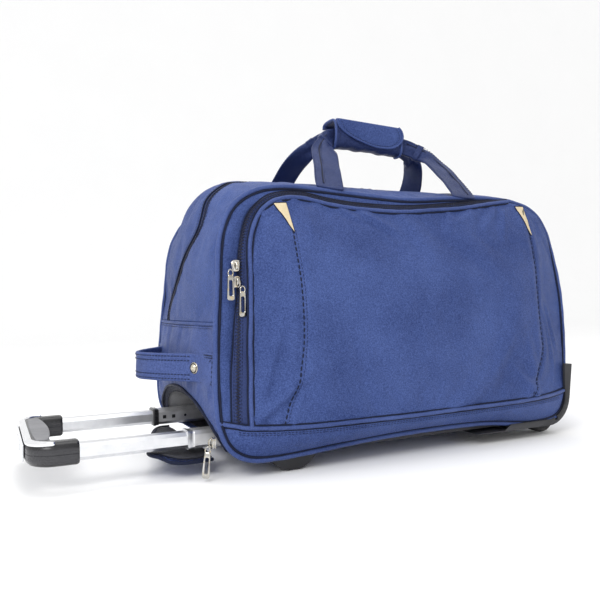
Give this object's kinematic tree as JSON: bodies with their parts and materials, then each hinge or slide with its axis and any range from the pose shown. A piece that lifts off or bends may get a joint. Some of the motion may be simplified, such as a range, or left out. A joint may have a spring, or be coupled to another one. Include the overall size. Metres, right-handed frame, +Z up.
{
  "type": "wheeled trolley duffel bag",
  "caption": "Soft wheeled duffel bag with a telescopic pull handle, bulging front pocket, wrapped carry handles, end grab loop, corner guards, feet and zips.",
  "frame": {"origin": "middle of the footprint of the whole object with its pull handle out as stored, on the floor", "axes": "+X from the pull handle towards the wheels, +Y from the pocket side to the plain back, +Z up"},
  "size_m": [0.749, 0.31, 0.464],
  "materials": {
    "fabric": "woven navy polyester, padded",
    "piping": "satin navy piping",
    "lining": "grey lining",
    "insert": "cream coated fabric",
    "zip_tape": "navy coil zip tape",
    "webbing": "navy webbing",
    "board": "black stiffening board",
    "tube_inner": "bright satin aluminium",
    "tube_middle": "satin aluminium",
    "black_plastic": "moulded black plastic",
    "grey_plastic": "moulded grey plastic",
    "light_plastic": "pale silver-grey plastic",
    "chrome_trim": "polished trim",
    "tyre": "black tread",
    "steel": "plated steel",
    "zip_metal": "plated zinc",
    "brass": "antique brass"
  },
  "bodies": {
    "bag": {"front_panel": "fabric", "rear_panel": "fabric", "top_gusset_front": "fabric", "top_gusset_rear": "fabric", "left_end_panel": "fabric", "right_end_panel": "fabric", "bottom_panel": "fabric", "front_piping": "piping", "rear_piping": "piping", "main_zipper": "zip_tape", "pocket_panel": "fabric", "pocket_piping": "piping", "pocket_zipper": "zip_tape", "front_band": "fabric", "band_piping": "piping", "accent_inserts": "insert", "base_board": "board", "compartment_floor": "lining", "outer_tubes": "tube_middle", "outer_collars": "black_plastic", "tube_bracket": "black_plastic", "corner_guard_front": "black_plastic", "corner_guard_rear": "black_plastic", "axles": "steel", "feet": "black_plastic", "base_screws": "steel", "grab_tabs": "webbing", "grab_rivets": "brass", "flap_slider": "zip_metal"},
    "middle_stage": {"middle_tubes": "tube_middle", "middle_collars": "black_plastic"},
    "inner_stage": {"inner_tubes": "tube_inner", "grip_body": "black_plastic", "grip_trim": "chrome_trim", "grip_top_plate": "grey_plastic", "grip_end_face": "light_plastic", "button_spring": "steel"},
    "button": {"push_button": "light_plastic", "push_rods": "steel"},
    "lock_front": {"lock_pin_front": "steel"},
    "lock_rear": {"lock_pin_rear": "steel"},
    "wheel_front": {"wheel_hub_front": "grey_plastic", "wheel_tyre_front": "tyre"},
    "wheel_rear": {"wheel_hub_rear": "grey_plastic", "wheel_tyre_rear": "tyre"},
    "handle_front": {"front_handle": "webbing", "grip_wrap": "fabric"},
    "handle_rear": {"rear_handle": "webbing"},
    "tongue": {"wrap_tongue": "fabric"},
    "grab_loop": {"grab_handle": "webbing"},
    "flap": {"trolley_flap": "fabric"},
    "top_slider_a": {"main_slider_a": "zip_metal"},
    "top_slider_b": {"main_slider_b": "zip_metal"},
    "top_pull_a": {"main_pull_a": "zip_metal"},
    "top_pull_b": {"main_pull_b": "zip_metal"},
    "side_slider_upper": {"pocket_slider_upper": "zip_metal"},
    "side_slider_lower": {"pocket_slider_lower": "zip_metal"},
    "side_pull_upper": {"pocket_pull_upper": "zip_metal"},
    "side_pull_lower": {"pocket_pull_lower": "zip_metal"},
    "end_pull": {"flap_pull": "zip_metal"}
  },
  "joints": [
    {"name": "middle_stage_slide", "type": "slide", "parent": "bag", "child": "middle_stage", "axis": [-1, 0, 0], "range_m": [-0.077, 0.16]},
    {"name": "inner_stage_slide", "type": "slide", "parent": "middle_stage", "child": "inner_stage", "axis": [-1, 0, 0], "range_m": [-0.119, 0.16]},
    {"name": "button_press", "type": "slide", "parent": "inner_stage", "child": "button", "axis": [1, 0, 0], "range_m": [0, 0.004], "stiffness_N_per_m": 900, "springref_m": -0.002, "deforming": ["button_spring"]},
    {"name": "lock_pin_front_slide", "type": "slide", "parent": "inner_stage", "child": "lock_front", "axis": [0, -1, 0], "range_m": [0, 0.0025]},
    {"name": "lock_pin_rear_slide", "type": "slide", "parent": "inner_stage", "child": "lock_rear", "axis": [0, 1, 0], "range_m": [0, 0.0025]},
    {"name": "wheel_front_spin", "type": "hinge", "parent": "bag", "child": "wheel_front", "pos_m": [0.3395, -0.09697, 0.025], "axis": [0, 1, 0], "continuous": true},
    {"name": "wheel_rear_spin", "type": "hinge", "parent": "bag", "child": "wheel_rear", "pos_m": [0.3395, 0.11903, 0.025], "axis": [0, 1, 0], "continuous": true},
    {"name": "front_handle_fold", "type": "hinge", "parent": "bag", "child": "handle_front", "pos_m": [0.0955, -0.09297, 0.348], "axis": [1, 0, 0], "range_deg": [0, 100]},
    {"name": "rear_handle_fold", "type": "hinge", "parent": "bag", "child": "handle_rear", "pos_m": [0.0955, 0.11503, 0.348], "axis": [1, 0, 0], "range_deg": [-100, 0]},
    {"name": "wrap_tongue_open", "type": "hinge", "parent": "handle_front", "child": "tongue", "pos_m": [0.1115, -0.01147, 0.463], "axis": [-1, 0, 0], "range_deg": [0, 110]},
    {"name": "grab_handle_flex", "type": "hinge", "parent": "bag", "child": "grab_loop", "pos_m": [-0.1775, 0.01103, 0.124], "axis": [0, 1, 0], "range_deg": [-25, 25], "stiffness_Nm_per_rad": 0.4},
    {"name": "trolley_flap_droop", "type": "hinge", "parent": "bag", "child": "flap", "pos_m": [-0.1785, 0.01103, 0.0245], "axis": [0, -1, 0], "range_deg": [0, 20], "stiffness_Nm_per_rad": 0.3},
    {"name": "main_slider_a_run", "type": "slide", "parent": "bag", "child": "top_slider_a", "axis": [-1, 0, 0], "range_m": [0, 0.15]},
    {"name": "main_slider_b_run", "type": "slide", "parent": "bag", "child": "top_slider_b", "axis": [1, 0, 0], "range_m": [0, 0.1]},
    {"name": "main_pull_a_swing", "type": "hinge", "parent": "top_slider_a", "child": "top_pull_a", "pos_m": [0.0945, 0.01103, 0.3675], "axis": [0, 1, 0], "range_deg": [0, 90]},
    {"name": "main_pull_b_swing", "type": "hinge", "parent": "top_slider_b", "child": "top_pull_b", "pos_m": [0.1255, 0.01103, 0.3675], "axis": [0, -1, 0], "range_deg": [0, 90]},
    {"name": "pocket_slider_upper_run", "type": "slide", "parent": "bag", "child": "side_slider_upper", "axis": [0, 0.1074, 0.9942], "range_m": [0, 0.008]},
    {"name": "pocket_slider_lower_run", "type": "slide", "parent": "bag", "child": "side_slider_lower", "axis": [0, -0.1074, -0.9942], "range_m": [0, 0.11]},
    {"name": "pocket_pull_upper_swing", "type": "hinge", "parent": "side_slider_upper", "child": "side_pull_upper", "pos_m": [-0.1537, -0.11726, 0.237], "axis": [-1, 0, 0], "range_deg": [0, 90]},
    {"name": "pocket_pull_lower_swing", "type": "hinge", "parent": "side_slider_lower", "child": "side_pull_lower", "pos_m": [-0.1402, -0.11931, 0.218], "axis": [-1, 0, 0], "range_deg": [0, 90]},
    {"name": "flap_pull_swing", "type": "hinge", "parent": "bag", "child": "end_pull", "pos_m": [-0.1833, -0.11697, 0.038], "axis": [0, 1, 0], "range_deg": [0, 90]}
  ],
  "couplings": [
    {"joint": "lock_pin_front_slide", "follows": "button_press", "ratio": 0.625},
    {"joint": "lock_pin_rear_slide", "follows": "button_press", "ratio": 0.625},
    {"joint": "rear_handle_fold", "follows": "front_handle_fold", "ratio": -1}
  ]
}
